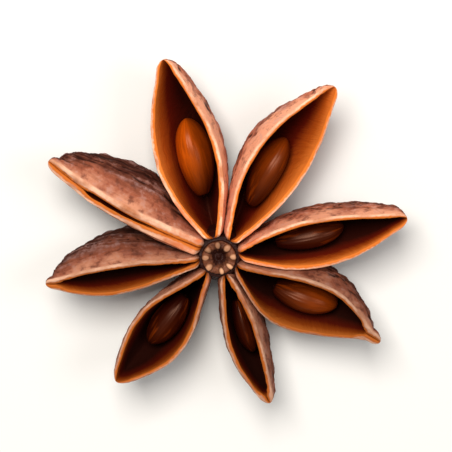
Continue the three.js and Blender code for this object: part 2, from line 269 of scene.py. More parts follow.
def count(name, description, default, least, most):
    """A whole number a user may change."""
    return IntProperty(name=name, description=description, default=default,
                       min=least, max=most)


def power(name, description, watts):
    """A light's power a user may change."""
    return FloatProperty(name=name, description=description, default=watts, min=0, unit="POWER")


def colour(name, description, code):
    """A colour a user may change."""
    return FloatVectorProperty(name=name, description=description, default=linear(code),
                               size=3, min=0, max=1, subtype="COLOR")


class PodHuskSizes(bpy.types.PropertyGroup):
    """Sizes of the carpels."""

    beak_lip: length("Beak lip", "Width of the rim at the beak", 0.32)
    lip_band: length("Lip band", "Width over which the rim's colour passes to the hollow's", 0.46)
    lip_crown: length("Lip crown", "How far the rounded rim stands above its edges", 0.15)
    flare: share("Flare", "How much the hollow narrows towards its bottom, besides its arc", 0.25)
    wall: length("Wall", "Thickness of the side walls", 0.62)
    floor: length("Floor", "Thickness under the hollow, at the keel", 0.8)
    suture_half_width: length("Suture half width", "Half width of the closed seam", 0.07)
    suture_depth: length("Suture depth", "Depth of the closed seam", 0.35)
    hub_half_width: length("Root half width", "Half width of a carpel at the column", 0.78)
    beak_half_width: length("Beak half width", "Half width of the beak", 0.6)
    beak_depth: length("Beak depth", "Height of the beak", 1.2)
    beak_round: length("Beak rounding", "Length over which the beak rounds off", 0.9)
    hub_round: length("Root rounding", "Length over which the root rounds off", 0.65)
    hub_end_down: length("Root middle", "How far below the rim the root closes", 2.0)
    crest: length("Crest", "How far the ridge along the keel stands out", 0.3)
    wrinkle: length("Wrinkles", "Depth of the coarse folds of the outer face", 0.16)
    fold: length("Folds", "Depth of the lengthwise shrivelling", 0.11)
    bump: length("Bumps", "Height of the small lumps near the keel", 0.03)
    crease: length("Creases", "Depth of the fine cracks", 0.1)
    grain: length("Grain", "Height of the woody grain", 0.022)
    waver: length("Rim waver", "How far the rim wanders from a smooth line", 0.07)
    fibre: length("Fibres", "Height of the fibres on the inner walls", 0.012)


class PodColumnSizes(bpy.types.PropertyGroup):
    """Sizes of the column in the middle."""

    top: length("Top", "Height of the boss", 7.3)
    foot: length("Foot", "Height of the stalk stub", 1.9)
    boss_radius: length("Boss radius", "Radius of the boss", 1.62)
    bevel: length("Bevel", "Rounding of the boss's edge", 0.15)
    groove_radius: length("Groove radius", "Outer radius of the groove round the boss", 1.98)
    groove_depth: length("Groove depth", "Depth of the groove below the top", 0.75)
    core_radius: length("Core radius", "Radius of the core that carries the carpels", 2.5)
    core_slope: length("Core slope", "Height of the core's sloping shoulders", 0.9)
    pit_radius: length("Pit radius", "Radius of the pit's mouth", 1.0)
    pit_floor_radius: length("Pit floor radius", "Radius of the pit's floor", 0.36)
    pit_depth: length("Pit depth", "Depth of the pit", 0.8)
    point: length("Point", "Height of the point in the pit", 0.22)
    point_shoulder: length("Point shoulder", "Height at which the point widens", 0.066)
    point_radius: length("Point radius", "Radius of the point's shoulder", 0.2)
    knob_radius: length("Knob radius", "Radius of a knob on the boss", 0.36)
    knob_ring_radius: length("Knob ring radius", "Distance of the knobs from the axis", 1.34)
    knob_sunk: length("Knob sunk", "How far a knob's middle lies below the top", 0.18)
    stub_radius: length("Stub radius", "Radius of the broken stalk end", 1.25)
    stub_bevel: length("Stub bevel", "Rounding of the stalk's broken end", 0.1)
    neck_radius: length("Neck radius", "Radius of the stalk above its end", 1.0)
    furrow: length("Furrows", "Depth of the furrows that run out from the pit", 0.25)
    rough: length("Roughness", "Height of the small lumps on the column", 0.045)


class PodSeedSizes(bpy.types.PropertyGroup):
    """Sizes of the seeds that all of them share."""

    taper: share("Taper", "How much narrower the inner end is than the outer one", 0.1)
    point: number("Point", "Power that sharpens a seed's ends", 0.6, 0.5, 1)
    edge: number("Edge", "Power that sharpens a seed's two edges", 1.14, 1, 2)
    plump: length("Plumpness", "How much further than its solid a seed reaches", 0.1)
    ridge: length("Ridges", "Height of the faint lengthwise ridges", 0.0455)
    lump: length("Lumps", "Height of the soft lumps", 0.0195)
    hilum: length("Hilum", "Depth of the scar at the inner end", 0.22)


class PodColours(bpy.types.PropertyGroup):
    """Colours of the woody husk, the seeds and the stage."""

    rim_side: colour("Flank by the rim", "Outer face close to the rim", 0xD08C6C)
    flank: colour("Flank", "Outer face half way down", 0x9C563E)
    low_flank: colour("Lower flank", "Outer face near the keel", 0x462018)
    # Painted highlight along the keel's crest.
    keel: colour("Keel", "Crest of the keel", 0xA08078)
    # Bloom in patches, and painted sheen on the raised places.
    dust_and_sheen: colour("Dust", "Dusty bloom on the raised places", 0xB08880)
    # Painted shade at the bottom of the cracks and folds, and in the seeds' scars.
    crease: colour("Creases", "Bottom of the cracks and folds", 0x220C08)
    lip_dark: colour("Lip, dark", "Darker places of the rim", 0xB87450)
    lip_pale: colour("Lip, pale", "Paler places of the rim", 0xF2BC9C)
    lip_red: colour("Lip, red", "Inner side of the rim by the column", 0xD86C38)
    inner_top: colour("Inner wall, top", "Inner wall under the rim", 0xCC6C28)
    # Painted shade: the inner wall's amber darkened with depth down the hollow; the deepest also
    # shades the column's core.
    inner_middle_shaded: colour("Inner wall, middle", "Inner wall half way down", 0x9C4410)
    inner_low_shaded: colour("Inner wall, low", "Inner wall beside the seed", 0x5A1204)
    inner_deep_shaded: colour("Inner wall, deep", "Bottom of the hollow, and the core", 0x260502)
    knob: colour("Knobs", "Knobs on the boss", 0xD8A078)
    column: colour("Column", "Top and sides of the boss", 0x74422A)
    # Painted shade in the pit, the groove and the furrows, deepening with depth.
    pit: colour("Pit", "Pit and groove", 0x2A0E07)
    seed_dark: colour("Seed, dark", "Red-brown seeds", 0x240502)
    seed_amber: colour("Seed, amber", "Amber seeds", 0xB84C04)
    gloss: colour("Gloss", "Tint of the highlights", 0xFFC0A0)
    floor: colour("Floor", "The plain pale floor", 0xE9E7E3)


class PodLook(bpy.types.PropertyGroup):
    """Gloss of the materials, and the stage."""

    outer_roughness: share("Outer roughness", "Roughness of the outer face", 0.62)
    inner_roughness: share("Inner roughness", "Roughness of the inner walls", 0.42)
    seed_roughness: share("Seed roughness", "Roughness of the seeds", 0.27)
    husk_gloss: share("Husk gloss", "Specular level of the husk", 0.18)
    seed_gloss: share("Seed gloss", "Specular level of the seeds", 0.22)
    # Painted light: how bright the most shaded and the most lit carpels are made.
    darkest: share("Darkest carpel", "Brightness of the darkest carpel", 0.55)
    palest: number("Palest carpel", "Brightness of the palest carpel", 1.25, 0, 2)
    key_energy: power("Key light", "Power of the main light", 1.12)
    fill_energy: power("Fill light", "Power of the fill light", 0.3)
    sky: number("Sky", "Strength of the even light all round", 0.35, 0, 10)
    camera_tilt: FloatProperty(name="Camera tilt", description="Lean of the camera past overhead",
                               default=math.radians(12), subtype="ANGLE")
    camera_distance: length("Camera distance", "Distance from the camera to the pod", 242)
    lens: FloatProperty(name="Lens", description="Focal length of the camera",
                        default=200, min=1, unit="CAMERA")


class PodDetail(bpy.types.PropertyGroup):
    """Fineness of the surfaces."""

    stations: count("Stations", "Sections along a carpel", 190, 30, 400)
    arc_points: count("Arc points", "Points round each wall of a section", 96, 11, 200)
    lip_points: count("Lip points", "Points over each lip", 9, 1, 24)
    end_rows: count("End rows", "Sections over each rounded end", 12, 3, 14)
    seed_rings: count("Seed rings", "Rings along a seed", 72, 8, 200)
    seed_sides: count("Seed sides", "Points round a seed", 96, 8, 200)
    column_rows: count("Column rows", "Rows along the column's profile", 170, 20, 400)
    column_sides: count("Column sides", "Points round the column", 200, 16, 400)


class PodSettings(bpy.types.PropertyGroup):
    """All that a user may change."""

    husk: PointerProperty(type=PodHuskSizes)
    column: PointerProperty(type=PodColumnSizes)
    seed: PointerProperty(type=PodSeedSizes)
    colours: PointerProperty(type=PodColours)
    look: PointerProperty(type=PodLook)
    detail: PointerProperty(type=PodDetail)


def in_metres(row, lengths):
    """The row with its lengths turned from millimetres to metres."""
    return row._replace(**{name: getattr(row, name) * MM for name in lengths})


def mix(a, b, t):
    """From a at t = 0 to b at t = 1, in a straight line."""
    return a + (b - a) * t


def smoothstep(t, low, high):
    """0 below low, 1 above high, and 3u^2 - 2u^3 between them."""
    u = np.clip((t - low) / (high - low), 0, 1)
    return u * u * (3 - 2 * u)


def gradient_noise(points, seed):
    """Smooth noise of about -1 to 1.

    Each corner of a unit lattice has a random direction. A point takes the dot product of its
    offset with the direction of each of its eight corners, blended by 6t^5 - 15t^4 + 10t^3.
    """
    rng = np.random.default_rng(seed)
    order = rng.permutation(LATTICE)
    directions = rng.normal(size=(LATTICE, 3))
    directions /= np.linalg.norm(directions, axis=1, keepdims=True)
    cell = np.floor(points).astype(int)
    offset = points - cell
    fade = offset**3 * (offset * (offset * 6 - 15) + 10)
    total = np.zeros(points.shape[:-1])
    for corner in np.ndindex(2, 2, 2):
        step = np.array(corner)
        x, y, z = np.moveaxis((cell + step) % LATTICE, -1, 0)
        which = order[(order[(order[x] + y) % LATTICE] + z) % LATTICE]
        height = np.sum(directions[which] * (offset - step), axis=-1)
        total += height * np.prod(np.where(step == 1, fade, 1 - fade), axis=-1)
    return total * 1.5


def fractal(points, seed, octaves=3):
    """Layers of noise, each twice as fine and half as high as the one before."""
    layers = range(octaves)
    return sum(gradient_noise(points * 2**k, seed + k) / 2**k for k in layers)


def cracks(points, seed):
    """1 along the winding lines where a noise is 0, falling to 0 as a bell."""
    return np.exp(-((gradient_noise(points, seed) / CRACK_WIDTH) ** 2))


def stacked(*parts):
    """Arrays spread to one shape and stacked as the coordinates of points."""
    return np.stack(np.broadcast_arrays(*parts), axis=-1)


def outline(s, carpel):
    """0 at the column, 1 at the widest place, 0 at the beak's root: a power of a sine of s."""
    body = np.minimum(s / (1 - carpel.beak), 1)
    stretched = body ** (math.log(0.5) / math.log(carpel.widest))
    return np.maximum(np.sin(np.pi * stretched), 0) ** OUTLINE_FULLNESS


def section_sizes(s, carpel, husk):
    """Half widths and depth of a carpel's outside and of its hollow at the places s along it.

    The mouth and belly swell from the root with the outline. The depth is a share of the full
    depth that grows up to the deepest place by a square, and falls beyond it by a power of
    1 - t^2. The hollow is the outside less the wall, and closes to a shallow seam.
    """
    swell = outline(s, carpel)
    plain = mix(carpel.lip + husk.suture_half_width, husk.beak_half_width, s)
    root = mix(husk.hub_half_width, husk.beak_half_width, s)
    mouth = plain + (carpel.mouth - plain) * swell
    belly = np.maximum(mouth, root + (carpel.belly - root) * swell**BELLY_FULLNESS)
    t = np.minimum(s / (1 - carpel.beak), 1)
    before = np.clip((DEEPEST_AT - t) / DEEPEST_AT, 0, 1)
    after = np.clip((t - DEEPEST_AT) / (1 - DEEPEST_AT), 0, 1)
    body = (1 - (1 - HUB_DEPTH_SHARE) * before**2) * (1 - after**2) ** carpel.sweep
    depth = carpel.depth * body + husk.beak_depth * after**4
    lip = mix(carpel.lip, husk.beak_lip, s**2)
    closing = smoothstep(s, 1 - carpel.shut - SHUTTING, 1 - carpel.shut) if carpel.shut else 0
    hollow_mouth = np.maximum((mouth - lip) * (1 - closing), husk.suture_half_width)
    opened = smoothstep(hollow_mouth, husk.suture_half_width, 3 * husk.suture_half_width)
    hollow_belly = np.maximum(hollow_mouth, (belly - husk.wall) * opened)
    seam_depth = np.minimum(husk.suture_depth, LEAST_HOLLOW_SHARE * depth)
    open_depth = np.maximum(depth - husk.floor, LEAST_HOLLOW_SHARE * depth)
    hollow_depth = mix(seam_depth, open_depth, opened)
    return mouth, belly, depth, hollow_mouth, hollow_belly, hollow_depth


def wall_arc(mouth, belly, depth, turn, rounding):
    """Across and down of one wall of a section, for turn from -1 at one lip to 1 at the other.

    Across is the belly times a power of the arc angle's sine, which sharpens the keel; the
    rounding blunts it. Down goes by the angle's cosine. A belly wider than the mouth carries the
    arc past a half circle.
    """
    end = np.pi - np.arcsin(np.minimum(mouth / belly, 1) ** (1 / KEEL_POINT))
    angle = end * turn
    sine = np.sin(angle)
    blunt = np.sqrt((sine**2 + rounding**2) / (1 + rounding**2))
    across = belly * sine * blunt ** (KEEL_POINT - 1)
    down = depth * (np.cos(angle) - np.cos(end)) / (1 - np.cos(end))
    return across, down


def lip_arc(mouth, hollow_mouth, crown, count):
    """Across and down over a lip, from its outer edge to its inner one.

    Half an ellipse whose top is two fifths of the way in, so that it rolls into the hollow.
    """
    way = np.arange(1, count + 1) / (count + 1)
    cosine = np.cos(np.pi * way)
    middle = (mouth + hollow_mouth) / 2
    half = (mouth - hollow_mouth) / 2
    across = middle + half * np.sign(cosine) * np.abs(cosine) ** LIP_SIDE_FULLNESS
    down = -crown * np.sin(np.pi * way**LIP_TOP_SHIFT) ** LIP_TOP_FULLNESS
    return across, np.broadcast_to(down, across.shape)


def coarse_folds(s, turn, carpel, husk):
    """Height of the crest of the keel and of the folds that the solids have too.

    The folds are two slanting sine waves that fade at the lips, the column and the beak.
    """
    crest = husk.crest * np.exp(-((turn / CREST_WIDTH) ** 2)) * np.sin(np.pi * s)
    shift = math.radians(carpel.heading) * WRINKLE_SHIFT
    strength = 1 - np.abs(turn) ** 3
    strength = strength * smoothstep(s, 0.05, 0.3) * (1 - smoothstep(s, 0.93, 1))
    turns = WRINKLES_ALONG * s + WRINKLES_ROUND * turn
    cross_turns = CROSS_WRINKLES_ALONG * s - CROSS_WRINKLES_ROUND * turn
    waves = WRINKLE_SHARE * np.sin(2 * np.pi * turns + shift)
    waves = waves + (1 - WRINKLE_SHARE) * np.sin(2 * np.pi * cross_turns - shift) - WRINKLE_SINK
    return crest + husk.wrinkle * strength * waves


def place(carpel, s, across, down):
    """Points of a section in the frame of the model.

    Leans them about the middle of the mouth, sets them out along the carpel with its bow and
    sway, and turns them to the carpel's heading.
    """
    lean = math.radians(carpel.roll) * smoothstep(s, ROLL_STARTS_AT, ROLL_FULL_AT)
    sideways = across * np.cos(lean) + down * np.sin(lean)
    below = down * np.cos(lean) - across * np.sin(lean)
    out = mix(HUB_RADIUS, carpel.reach, s)
    arch = np.sin(np.pi * s)
    sideways = sideways + carpel.bow * arch - carpel.sway * np.sin(2 * np.pi * s)
    rim = RIM_HEIGHT - carpel.dip * arch**2 + carpel.rise * s**3
    turn = math.radians(carpel.heading)
    x = out * math.cos(turn) - sideways * math.sin(turn)
    y = out * math.sin(turn) + sideways * math.cos(turn)
    return stacked(x, y, rim - below)


def carpel_stations(carpel, husk, detail):
    """Places along a carpel, even but closer at the rounded ends, without the ends themselves."""
    span = carpel.reach - HUB_RADIUS
    first, last = husk.hub_round / span, husk.beak_round / span
    ease = 1 - np.cos(np.linspace(0, np.pi / 2, detail.end_rows + 1))[1:]
    middle = np.linspace(first, 1 - last, detail.stations - 2 * detail.end_rows + 2)[1:-1]
    return np.concatenate([first * ease, middle, 1 - last * ease[::-1]])


def end_rounding(s, carpel, husk):
    """Two shrinking factors, 1 along the carpel and 0 at its root and its beak, as circles."""
    span = carpel.reach - HUB_RADIUS
    root = np.clip(1 - s * span / husk.hub_round, 0, 1)
    beak = np.clip(1 - (1 - s) * span / husk.beak_round, 0, 1)
    return np.sqrt(1 - root**2), np.sqrt(1 - beak**2)


def surface_normals(points):
    """Outward normals of a grid of points whose rows are closed rings."""
    along = np.gradient(points, axis=0)
    around = np.roll(points, -1, axis=1) - np.roll(points, 1, axis=1)
    normals = np.cross(around, along)
    size = np.linalg.norm(normals, axis=-1, keepdims=True)
    return normals / np.maximum(size, 1e-15)


def carpel_rings(s, turn, carpel, husk, lip_points):
    """Across and down of a carpel's sections, and the half width of its opening.

    A section is a ring: the outer wall from lip to lip round the keel, the far lip, the hollow
    back again, and the near lip.
    """
    mouth, belly, depth, hollow_mouth, hollow_belly, hollow_depth = section_sizes(s, carpel, husk)
    outer_across, outer_down = wall_arc(mouth, belly, depth, turn, KEEL_ROUNDING)
    size = np.maximum(np.hypot(outer_across, outer_down), 1e-9)
    swell = 1 + coarse_folds(s, turn, carpel, husk) / size
    hollow_across, hollow_down = wall_arc(
        hollow_mouth, hollow_belly, hollow_depth, -turn, HOLLOW_ROUNDING)
    hollow_across = hollow_across * (1 - husk.flare * hollow_down / hollow_depth)
    lip_across, lip_down = lip_arc(mouth, hollow_mouth, husk.lip_crown, lip_points)
    across = np.hstack([outer_across * swell, lip_across, hollow_across, -lip_across[:, ::-1]])
    down = np.hstack([outer_down * swell, lip_down, hollow_down, lip_down[:, ::-1]])
    return across, down, hollow_mouth


def ring_marks(turn, lip_points):
    """Which points of a ring are on the outer wall and which in the hollow, and the keel's share.

    The share is 0 at the lips and 1 at the keel, in a straight line with the arc's turn.
    """
    arc_points = turn.shape[1]
    part = np.repeat([0, 1, 2, 3], [arc_points, lip_points, arc_points, lip_points])[None, :]
    is_outer, is_hollow = part == 0, part == 2
    keel = np.zeros(part.shape)
    keel[is_outer] = 1 - np.abs(turn[0])
    return is_outer, is_hollow, keel


def rim_waver(s, across, down, side, span, waver, seed):
    """Across and down of rings whose rim wanders by noise, less down the walls and at the ends."""
    off_ends = smoothstep(s, 0, 0.12) * (1 - smoothstep(s, 0.9, 1))
    strength = waver * off_ends * np.exp(-np.maximum(down, 0) / WAVER_FADE)
    track = stacked(s * span / WAVER_LENGTH, side * WAVER_APART, 0)
    across = across + strength * fractal(track, seed)
    down = down + strength * fractal(track, seed + 9)
    return across, down


def outer_relief(points, lengthwise, husk, seed):
    """Height of the shrivelled folds, the small lumps and the cracks of an outer wall."""
    folds = fractal(lengthwise + FOLD_DRIFT * points / MM, seed + 20)
    lumps = fractal(points / LUMP_SIZE, seed + 30)
    lines = cracks(lengthwise + CRACK_DRIFT * points / MM, seed + 40)
    return husk.fold * folds + husk.bump * lumps - husk.crease * lines


def fine_relief(points, fibres, is_outer, is_hollow, husk, seed):
    """Height of the woody grain, faint on the lips and in the hollow, and of the hollow's fibres."""
    strength = np.where(is_outer, 1, np.where(is_hollow, HOLLOW_GRAIN, LIP_GRAIN))
    grain = husk.grain * strength * fractal(points / GRAIN_SIZE, seed + 50, 2)
    return grain + husk.fibre * is_hollow * fractal(fibres, seed + 60, 2)


def painted_hollow_shade(s, down, carpel):
    """Painted shade in a hollow: its depth below the rim, a little more by the column, most by the
    beak.
    """
    by_column = mix(1.1, 1, smoothstep(s, 0.05, 0.35))
    by_beak = mix(1, 1.7, smoothstep(s, 0.6, 0.95))
    return carpel.gloom * by_column * by_beak * np.maximum(down, 0) / PAINTED_SHADE_DEPTH


def carpel_surface(carpel, husk, detail, seed):
    """The closed surface of a carpel as a grid of sections, with the values its material reads.

    The rim wavers, both ends are rounded off, and the walls are pushed along their normals by
    folds, lumps, cracks and grain, which are strongest near the keel.
    """
    s = carpel_stations(carpel, husk, detail)[:, None]
    span = carpel.reach - HUB_RADIUS
    turn = np.linspace(-1, 1, detail.arc_points)[None, :]
    across, down, opening = carpel_rings(s, turn, carpel, husk, detail.lip_points)
    is_outer, is_hollow, keel = ring_marks(turn, detail.lip_points)
    beside = np.clip(1 - (np.abs(across) - opening) / husk.lip_band, 0, 1)
    inward = np.where(is_hollow, 1, np.where(is_outer, 0, beside))
    side = np.tanh(across / SIDE_BLEND)

    across, down = rim_waver(s, across, down, side, span, husk.waver, seed)
    root_round, beak_round = end_rounding(s, carpel, husk)
    across = across * beak_round * root_round
    down = mix(husk.hub_end_down, down * beak_round, root_round)
    points = place(carpel, s, across, down)
    normals = surface_normals(points)

    lengthwise = stacked(
        s * span / FOLD_LENGTH, down / FOLD_HEIGHT, side * FOLD_APART + carpel.heading)
    rough = smoothstep(keel, 0.02, 0.35) * smoothstep(s, 0, 0.1) * beak_round
    coarse = rough * outer_relief(points, lengthwise, husk, seed)
    fibres = stacked(s * span / FIBRE_WIDTH, down / FIBRE_LENGTH, side * FIBRE_APART)
    fine = fine_relief(points, fibres, is_outer, is_hollow, husk, seed) * beak_round * root_round
    points = points + normals * (coarse + fine)[..., None]
    points[..., 2] = np.maximum(points[..., 2], 0)

    values = {
        "keel": keel,
        "inner": inward,
        "lip": np.where(is_outer | is_hollow, np.exp(-np.maximum(down, 0) / LIP_EDGE), 1),
        # Painted shade in the hollow, deepening with depth.
        "below": painted_hollow_shade(s, down, carpel),
        "relief": coarse / (husk.fold + husk.bump),
        "along": s,
        # Painted light on the whole carpel, which its material multiplies its colour by.
        "pale": carpel.pale,
    }
    steps = np.diff(points, axis=1, prepend=points[:, :1])
    way_round = np.cumsum(np.linalg.norm(steps, axis=-1), axis=1)
    ends = place(carpel, np.array([0, 1]), np.zeros(2), np.array([husk.hub_end_down, 0]))
    return points, ends, values, stacked(s * span, way_round)


def seed_surface(carpel, sizes, detail, seed):
    """The closed surface of a seed: rings along a flattened bean with sharper ends.

    A ring's girth is a power of 1 - t^2, with a taper, for t from -1 to 1 along the seed. Across
    is a power of the ring angle's cosine, which gives the seed its two edges.
    """
    bean = carpel.seed
    t = -np.cos(np.pi * np.arange(1, detail.seed_rings + 1) / (detail.seed_rings + 1))[:, None]
    angle = -2 * np.pi * np.arange(detail.seed_sides)[None, :] / detail.seed_sides
    cosine, sine = np.cos(angle), np.sin(angle)
    girth = (1 - t**2) ** sizes.point * (1 + sizes.taper * t)
    across = bean.aside + bean.thick * girth * np.sign(cosine) * np.abs(cosine) ** sizes.edge
    down = bean.down + bean.high * girth * sine
    share_long = bean.long / (carpel.reach - HUB_RADIUS)
    points = place(carpel, bean.at + t * share_long, across, down)
    normals = surface_normals(points)

    track = stacked(RIDGES_ROUND * cosine, RIDGES_ROUND * sine, RIDGES_ALONG * t)
    ridges = fractal(track, seed + 5, 2) * np.sqrt(1 - t**2)
    lumps = gradient_noise(points / SEED_LUMP_SIZE, seed)
    scar = np.exp(-(((t - SCAR_AT) / SCAR_WIDTH) ** 2))
    height = sizes.plump + sizes.ridge * ridges + sizes.lump * lumps - sizes.hilum * scar
    points = points + normals * height[..., None]

    # Painted light and shade: the outer end and the anticlockwise side are made the more amber ones.
    painted_end_shade = mix(0.12, 1, smoothstep(t, -0.95, 0.45))
    painted_side_light = mix(0.35, 1, smoothstep(cosine, -0.9, 0.3))
    values = {"amber": bean.amber * painted_end_shade * painted_side_light, "scar": scar}
    ends = place(carpel, bean.at + np.array([-1, 1]) * share_long,
                 np.full(2, bean.aside), np.full(2, bean.down))
    return points, ends, values, stacked(t * bean.long, angle * bean.thick)


def column_profile(sizes, rows):
    """Radius and height down the column, from the top's middle to the stub's, at even steps.

    A line of straight stretches is resampled by its length and then smoothed over a few steps.
    """
    top = sizes.top
    groove_floor = top - sizes.groove_depth
    pit_floor = top - sizes.pit_depth
    corners = np.array([
        (0, pit_floor + sizes.point),
        (sizes.point_radius, pit_floor + sizes.point_shoulder),
        (sizes.pit_floor_radius, pit_floor),
        (sizes.pit_radius, top - sizes.bevel),
        (sizes.boss_radius - sizes.bevel, top - sizes.bevel),
        (sizes.boss_radius, top - 2 * sizes.bevel),
        (sizes.boss_radius, groove_floor),
        (sizes.groove_radius, groove_floor),
        (sizes.core_radius, groove_floor - sizes.core_slope),
        (sizes.core_radius, sizes.foot + sizes.core_slope),
        (sizes.neck_radius, sizes.foot / 2),
        (sizes.stub_radius, sizes.stub_bevel / 2),
        (sizes.stub_radius - sizes.stub_bevel, 0),
        (0, 0),
    ])
    steps = np.linalg.norm(np.diff(corners, axis=0), axis=1)
    reached = np.r_[0, np.cumsum(steps)]
    even = np.linspace(0, reached[-1], rows)
    line = np.stack([np.interp(even, reached, corners[:, k]) for k in range(2)], axis=-1)
    window = np.hanning(SMOOTHED_ROWS + 2)[1:-1]
    window /= window.sum()
    edge = len(window) // 2
    padded = np.pad(line, ((edge, edge), (0, 0)), mode="reflect", reflect_type="odd")
    smooth = np.stack([np.convolve(padded[:, k], window, "valid") for k in range(2)], axis=-1)
    smooth[0], smooth[-1] = line[0], line[-1]
    return smooth


def knob_on_boss(x, y, carpel, sizes, rng):
    """A carpel's knob: its height over its own middle, its nearness, and its share of painted light.

    It is half an ellipsoid, with sizes that vary by chance. The nearness is 1 at its middle and
    falls to 0 at its edge by a square.
    """
    heading = math.radians(carpel.heading + KNOB_SHIFT + rng.uniform(-4, 4))
    ring = sizes.knob_ring_radius * rng.uniform(0.94, 1.04)
    wide = sizes.knob_radius * rng.uniform(0.7, 1.0)
    deep = sizes.knob_radius * rng.uniform(1.0, 1.35)
    dx, dy = x - ring * math.cos(heading), y - ring * math.sin(heading)
    outward = dx * math.cos(heading) + dy * math.sin(heading)
    sideways = dy * math.cos(heading) - dx * math.sin(heading)
    inside = np.maximum(1 - (outward / deep) ** 2 - (sideways / wide) ** 2, 0)
    height = sizes.knob_radius * rng.uniform(0.75, 1.05) * np.sqrt(inside)
    # Painted light and shade: knobs towards one bearing are made fainter, as if in shade.
    painted_knob_light = 0.65 - 0.35 * math.cos(heading - math.radians(MOST_SHADED_KNOB))
    return height, inside, painted_knob_light


def column_surface(sizes, detail, seed):
    """The closed surface of the column: its profile turned about the axis, and lifted to knobs.

    Near each carpel's heading the boss rises to a knob, the upper one of the two being taken.
    Furrows run out from the pit, and small lumps roughen all of it.
    """
    profile = column_profile(sizes, detail.column_rows)[1:-1]
    radius, level = profile[:, :1], profile[:, 1:]
    angle = -2 * np.pi * np.arange(detail.column_sides)[None, :] / detail.column_sides
    x, y = radius * np.cos(angle), radius * np.sin(angle)
    around = stacked(FURROWS_ROUND * np.cos(angle), FURROWS_ROUND * np.sin(angle),
                     radius / FURROW_LENGTH)
    on_boss = smoothstep(sizes.boss_radius - radius, 0, BOSS_BLEND) * (level > sizes.top / 2)
    furrows = np.abs(gradient_noise(around, seed + 1)) * on_boss
    z = level - sizes.furrow * furrows * smoothstep(radius, 0, FURROWS_START)
    on_top = smoothstep(level, sizes.top - 4 * sizes.bevel, sizes.top - 1.2 * sizes.bevel)
    knobs = np.zeros_like(z)
    rng = np.random.default_rng(seed)
    for carpel in CARPELS:
        height, inside, painted_knob_light = knob_on_boss(x, y, carpel, sizes, rng)
        lift = (sizes.top - sizes.knob_sunk + height - z) * on_top
        z = z + np.where(inside > 0, np.maximum(lift, 0), 0)
        knobs = np.maximum(knobs, smoothstep(inside, 0, 0.7) * on_top * painted_knob_light)
    points = stacked(x, y, z)
    lumps = fractal(points / COLUMN_LUMP_SIZE, seed + 3)
    strength = sizes.rough * smoothstep(radius, 0, MIDDLE_BLEND) * (1 - 0.6 * knobs)
    points = points + surface_normals(points) * (strength * lumps)[..., None]
    points[..., 2] = np.maximum(points[..., 2], 0)

    values = {
        "knob": knobs,
        # Painted shade: darker the deeper into the pit and groove, and in the furrows.
        "sunk": np.clip((sizes.top - level) / PIT_SHADE_DEPTH, 0, 1) + 0.5 * furrows,
        "core": smoothstep(radius, sizes.groove_radius, sizes.groove_radius + CORE_BLEND),
    }
    ends = np.array([(0, 0, sizes.top - sizes.pit_depth + sizes.point), (0, 0, 0)])
    return points, ends, values, stacked(radius, angle)


def closed_mesh(name, points, ends, values, uv):
    """A mesh of quads over a grid whose rows are closed rings, with a fan to a point at each end.

    The values become point attributes, and uv the mesh's own map.
    """
    rows, size = points.shape[:2]
    corner = np.arange(rows * size).reshape(rows, size)
    beside = np.roll(corner, -1, axis=1)
    quads = stacked(corner[:-1], beside[:-1], beside[1:], corner[1:]).reshape(-1, 4)
    first = stacked(beside[0], corner[0], rows * size)
    last = stacked(corner[-1], beside[-1], rows * size + 1)
    flat = np.vstack([points.reshape(-1, 3), ends])
    mesh = bpy.data.meshes.new(name)
    mesh.from_pydata(flat.tolist(), [], quads.tolist() + first.tolist() + last.tolist())
    for key, value in values.items():
        value = value * np.ones((rows, size))
        whole = np.r_[value.ravel(), value[0].mean(), value[-1].mean()]
        layer = mesh.attributes.new(key, "FLOAT", "POINT")
        layer.data.foreach_set("value", whole.astype(np.float32))
    corners = np.empty(len(mesh.loops), np.int32)
    mesh.loops.foreach_get("vertex_index", corners)
    whole_uv = np.vstack([uv.reshape(-1, 2), uv[0].mean(axis=0), uv[-1].mean(axis=0)])
    whole_uv = (whole_uv / MAP_LENGTH)[corners]
    layer = mesh.uv_layers.new(name="along_and_round")
    layer.data.foreach_set("uv", whole_uv.astype(np.float32).ravel())
    mesh.polygons.foreach_set("use_smooth", np.ones(len(mesh.polygons), bool))
    mesh.update()
    if mesh.validate():
        raise RuntimeError(f"the mesh of {name} has faces that could not be kept")
    return mesh


def add_piece(name, surface, material, node):
    """Puts a surface into the scene as a piece that stands for a CAD node."""
    mesh = closed_mesh(name, *surface)
    mesh.materials.append(material)
    piece = bpy.data.objects.new(name, mesh)
    bpy.context.scene.collection.objects.link(piece)
    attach(piece, "root")
    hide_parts(node)


